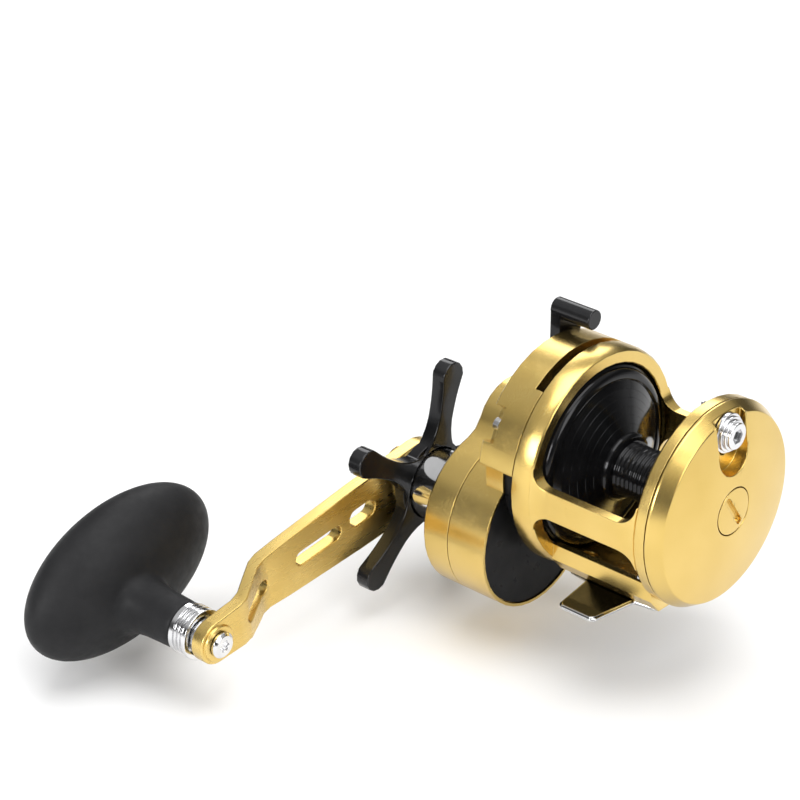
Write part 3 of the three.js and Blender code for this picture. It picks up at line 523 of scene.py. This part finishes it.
def left_plate():
    """Domed and chamfered side plate with the click button's recess and its guide slot."""
    shell = turned(
        [[PLATE_SEAT, DOME_RADIUS], [PLATE_SEAT, PLATE_RADIUS], [-24.6, PLATE_RADIUS],
         *dome(DOME_RADIUS, 29, 26, 23, 20, 17, 14, 11, 9, CAP_BORE),
         [PLATE_INSIDE, CAP_BORE], [PLATE_INSIDE, 29.9], [-25.0, DOME_RADIUS], [PLATE_SEAT, DOME_RADIUS]],
        SPOOL_AXIS, 160)
    recess = slab(slot_outline(SPOOL_AXIS, 24.5, BUTTON_SLOT_WIDTH, 0, 24.8, 90), -34, -27.0)
    guide = slab(slot_outline(SPOOL_AXIS, 10.1, 4.6, 0, 23.05, 90), -28, -25)
    mesh = carve(shell, recess, guide)
    return piece("left_side_plate_finished", mesh, "left_side_plate", edge=0.28, segments=3)


def tension_cap():
    """Spool tension cap with a coin slot; hollow behind for the spool's bearing."""
    body = turned(
        [*dome(0, 2, 4, 6, CAP_RADIUS), [PLATE_INSIDE, CAP_RADIUS], [PLATE_INSIDE, 5.9],
         [-29.8, 5.9], [-29.8, 0]], SPOOL_AXIS, 96)
    length, width, degrees = COIN_SLOT
    coin = slab(slot_outline(SPOOL_AXIS, length, width, 0, 0, degrees), -34, -30.7)
    return piece("spool_tension_cap_finished", carve(body, coin), "spool_tension_cap", edge=0.18)


def click_button():
    """Stepped silver thumb button with ribs round it and a hexagonal recess."""
    axis = on_axis("click_button")
    top, hex_radius = -31.8, 2.5
    ribs = []
    for x, crest, neck in ((-31.6, 4.25, 4.0), (-30.6, 4.9, 4.6), (-29.6, 5.7, 5.4)):
        ribs += [[x, crest], [x + 0.5, crest + 0.05], [x + 0.6, neck], [x + 0.9, neck]]
    skirt = [[-28.6, 6.35], [-28.4, 6.5], [-27.4, 6.5], [-27.3, 6.4]]
    stem = [[-27.3, 2.0], [-25.95, 2.0], [-25.95, 0]]
    body = turned([[top, 0], [top, 4.0], *ribs, *skirt, *stem], axis, 96)
    corners = []
    for i in range(6):
        a = math.tau * i / 6
        corners.append((axis.y + hex_radius * MM * math.cos(a), axis.z + hex_radius * MM * math.sin(a)))
    return piece("click_button_finished", carve(body, slab(corners, -33, -30.4)), "click_button", edge=0.08)


# ------------------------------------------------------------------ spool


ARBOR = 8.8            # radius between the grooves
GROOVE_DEPTH = 0.42
GROOVE_PITCH = 1.64
GROOVED_HALF = 8.2     # the grooves run this far each way from the middle
CONE_START = (10.6, 11.2)    # X and radius of the cone's foot
CONE_RUN = (7.2, 15.0)
CONE_PARTS = 6
LIP_RADIUS = 30.6


def turned_steps():
    """The cone's small turned steps, from the arbor out."""
    steps = [[*CONE_START]]
    for i in range(1, CONE_PARTS):
        x, r = (start + run * i / CONE_PARTS for start, run in zip(CONE_START, CONE_RUN))
        steps += [[x - 0.03, r - 0.05], [x + 0.05, r], [x + 0.03, r + 0.05]]
    return steps


def flange(side):
    """Half the spool, from its bearing seat over the lip and down the cone to the arbor."""
    seat = [[22.9, 6.0], [15.4, 6.0]]
    lip = [[21.2, 28.6], [22.9, 28.9], [22.9, 30.3], [22.6, LIP_RADIUS], [20.5, LIP_RADIUS], [20.1, 30.4],
           [19.8, 29.8], [19.0, 29.6], [18.4, 29.2], [17.95, 28.6], [17.65, 27.8], [17.5, 27.0], [17.6, 26.5],
           [17.9, 26.2]]
    bead = [[10.4, 11.35], [9.9, 11.4], [9.3, 11.2], [8.8, 10.7], [8.5, 10.0], [8.4, ARBOR]]
    return [[side * x, r] for x, r in (*seat, *lip, *reversed(turned_steps()), *bead)]


def spool():
    """Deep-flanged spool: grooved arbor, turned steps on the cones, thick lips."""
    tenths = round(10 * GROOVED_HALF)
    groove = []
    for x in range(-tenths, tenths + 1, 2):
        turn = math.pi * x / 10 / GROOVE_PITCH
        groove.append([x / 10, ARBOR - GROOVE_DEPTH * math.sin(turn) ** 2])
    left = [[-25.4, 2.8], [-25.4, 5.0], [-24.2, 5.0], *flange(-1)]
    right = [[24.0, 2.8], [24.0, 6.0], *flange(1)[1:]][::-1]
    mesh = turned([*left, *groove, *right, left[0]], SPOOL_AXIS, 144)
    return piece("spool_finished", mesh, "spool", angle=24)


# ------------------------------------------------------------------ knob


EGG_HALF = (16.0, 38.0, 23.6)          # half lengths along X, Y and Z
EGG_TILT = -14                         # degrees about X
EGG_FROM_KNOB = (124.2, -4.0, 4.0)     # X of its middle, and Y and Z from the knob's axis
GRIP_VOXEL = 0.9
KNOB_BORE = 6.8
COLLAR_CREST = 8.4
COLLAR_VALLEY = 7.75


def knob_grip():
    """Egg-shaped grip flowing into its stem in one moulding."""
    egg = bmesh.new()
    bmesh.ops.create_uvsphere(egg, u_segments=72, v_segments=48, radius=1)
    size = Matrix.Diagonal((*(half * MM for half in EGG_HALF), 1))
    tilt = Matrix.Rotation(math.radians(EGG_TILT), 4, "X")
    where = Matrix.Translation(KNOB_AXIS + Vector(EGG_FROM_KNOB) * MM)
    pole_along_y = Matrix.Rotation(math.radians(90), 4, "X")
    egg.transform(where @ tilt @ size @ pole_along_y)
    stem = turned(
        [[88.8, 0], [88.8, 7.6], [89.2, 8.0], [96, 8.2], [102, 8.5], [106, 9.1], [109.5, 10.4], [112.5, 12.6],
         [115, 15.5], [118, 15.5], [118, 0]], KNOB_AXIS, 72)
    joined = piece("grip_blank", carve(egg, stem, operation="UNION"))
    remesh = joined.modifiers.new("even", "REMESH")
    remesh.mode = "VOXEL"
    remesh.voxel_size = GRIP_VOXEL * MM
    smooth = joined.modifiers.new("flow", "SMOOTH")
    smooth.iterations = 10
    smooth.factor = 0.5
    bpy.context.view_layer.update()
    graph = bpy.context.evaluated_depsgraph_get()
    mesh = bmesh.new()
    mesh.from_mesh(joined.evaluated_get(graph).to_mesh())
    bpy.data.objects.remove(joined)
    bore = turned([[87, 0], [87, KNOB_BORE], [110.2, KNOB_BORE], [110.2, 0]], KNOB_AXIS, 48)
    return piece("knob_grip_finished", carve(mesh, bore), "knob_grip", angle=50)


def knob_collar():
    """Bright collar with turned grooves between the arm and the grip."""
    profile = [[81.3, KNOB_BORE], [81.3, 8.2], [81.5, COLLAR_CREST]]
    for x in (82.7, 84.3, 85.9):
        profile += [[x, COLLAR_CREST], [x + 0.15, COLLAR_VALLEY], [x + 0.65, COLLAR_VALLEY], [x + 0.8, 8.45]]
    profile += [[88.3, 8.5], [88.5, 8.3], [88.5, KNOB_BORE], [81.3, KNOB_BORE]]
    return piece("knob_collar_finished", turned(profile, KNOB_AXIS, 96), "knob_collar", edge=0.06)


# ------------------------------------------------------------------ build

REMADE = {
    "left_side_plate": left_plate,
    "spool_tension_cap": tension_cap,
    "click_button": click_button,
    "spool": spool,
    "knob_grip": knob_grip,
    "knob_collar": knob_collar,
}
# the width in mm of the rounding on a CAD node's sharp edges
EDGES = {
    "frame": 0.15, "right_side_plate": 0.1, "gear_case_cover": 0.18, "inner_plate": 0.15, "star_drag": 0.5,
    "handle_arm": 0.45, "freespool_lever": 0.35, "reel_foot": 0.3, "bearing_collar": 0.2, "handle_nut": 0.25,
    "knob_screw": 0.12, "star_spacer": 0.2, "hub_washer": 0.15, "nut_lock_screw": 0.15,
    **{f"{group}_screw_{i}": 0.1 for group in ("side_plate", "cover") for i in (1, 2, 3)},
}
for make in REMADE.values():
    make()
for name, width in EDGES.items():
    refined(name, width)
for name, node in NODES.items():
    if name in REMADE or name in EDGES:
        continue
    node.data.materials.clear()
    node.data.materials.append(look_of(name))


# ------------------------------------------------------------------ studio


FLOOR_HALF = 6
FLOOR_GAP = 0.0005
WORLD_STRENGTH = 0.6
# grey of the surroundings by height: 0 straight down, 1 straight up, with a dark band above the horizon
WORLD_BANDS = ((0.50, 0.95), (0.57, 0.10), (0.70, 0.14), (0.80, 0.9))
MIDDLE = (0.03, 0.03, 0.03)    # what the lights point at
SENSOR = 36
LENS = 124.5
CAMERA_PLACE = (-0.4502, 0.6109, 0.4548)
CAMERA_AIM = (0.0551, 0.0557, 0.0638)


def floor():
    """A pale floor just under the object."""
    low = min(corner[2] for corner in CAD_BOX)
    mesh = bmesh.new()
    bmesh.ops.create_grid(mesh, x_segments=1, y_segments=1, size=FLOOR_HALF)
    data = bpy.data.meshes.new("floor")
    mesh.to_mesh(data)
    mesh.free()
    made = bpy.data.objects.new("floor", data)
    made.location = (0, 0, low - FLOOR_GAP)
    bpy.context.scene.collection.objects.link(made)
    s = Shader("pale_floor", Metallic=0.0)
    s.main.inputs["Specular IOR Level"].default_value = 0.2
    colour = s.mix(s.noise(3, 2), (0.86, 0.86, 0.86), (0.89, 0.89, 0.89))
    made.data.materials.append(s.finish(colour, s.remap(s.noise(20, 2), 0.3, 0.7, 0.7, 0.8)))


def pointed(made, place, aim):
    """Links a light or camera that stands at `place` and looks at `aim`."""
    made.location = place
    made.rotation_euler = (Vector(aim) - made.location).to_track_quat("-Z", "Y").to_euler()
    bpy.context.scene.collection.objects.link(made)


def softbox(name, place, size, power):
    data = bpy.data.lights.new(name, "AREA")
    data.shape = "RECTANGLE"
    data.size, data.size_y = size
    data.energy = power
    pointed(bpy.data.objects.new(name, data), place, MIDDLE)


def lights():
    softbox("top", (0.0, 0.1, 1.4), (1.3, 1.1), 13)
    softbox("key", (-1.2, 0.3, 0.9), (0.9, 1.0), 10)
    softbox("front", (0.1, 1.5, 0.5), (1.1, 0.5), 14)
    softbox("rim", (0.8, -0.9, 0.9), (0.8, 0.6), 5)


def surroundings():
    """A pale world with a dark band, which the polished pieces reflect."""
    world = bpy.data.worlds.new("studio")
    bpy.context.scene.world = world
    world.use_nodes = True
    tree = world.node_tree
    place = tree.nodes.new("ShaderNodeTexCoord")
    parts = tree.nodes.new("ShaderNodeSeparateXYZ")
    ramp = tree.nodes.new("ShaderNodeValToRGB")
    ramp.color_ramp.elements[0].position = 0.0
    ramp.color_ramp.elements[0].color = (0.9, 0.9, 0.9, 1)
    ramp.color_ramp.elements[1].position = 1.0
    ramp.color_ramp.elements[1].color = (1.0, 1.0, 1.0, 1)
    for position, grey in WORLD_BANDS:
        ramp.color_ramp.elements.new(position).color = (grey, grey, grey, 1)
    scale = tree.nodes.new("ShaderNodeMapRange")
    scale.inputs[1].default_value = -1
    scale.inputs[2].default_value = 1
    tree.links.new(place.outputs["Generated"], parts.inputs[0])
    tree.links.new(parts.outputs["Z"], scale.inputs[0])
    tree.links.new(scale.outputs[0], ramp.inputs[0])
    tree.links.new(ramp.outputs[0], tree.nodes["Background"].inputs["Color"])
    tree.nodes["Background"].inputs["Strength"].default_value = WORLD_STRENGTH


def camera():
    data = bpy.data.cameras.new("camera")
    data.sensor_width = SENSOR
    data.lens = LENS
    made = bpy.data.objects.new("camera", data)
    pointed(made, CAMERA_PLACE, CAMERA_AIM)
    bpy.context.scene.camera = made


floor()
lights()
surroundings()
camera()
bpy.context.scene.view_settings.view_transform = "Standard"
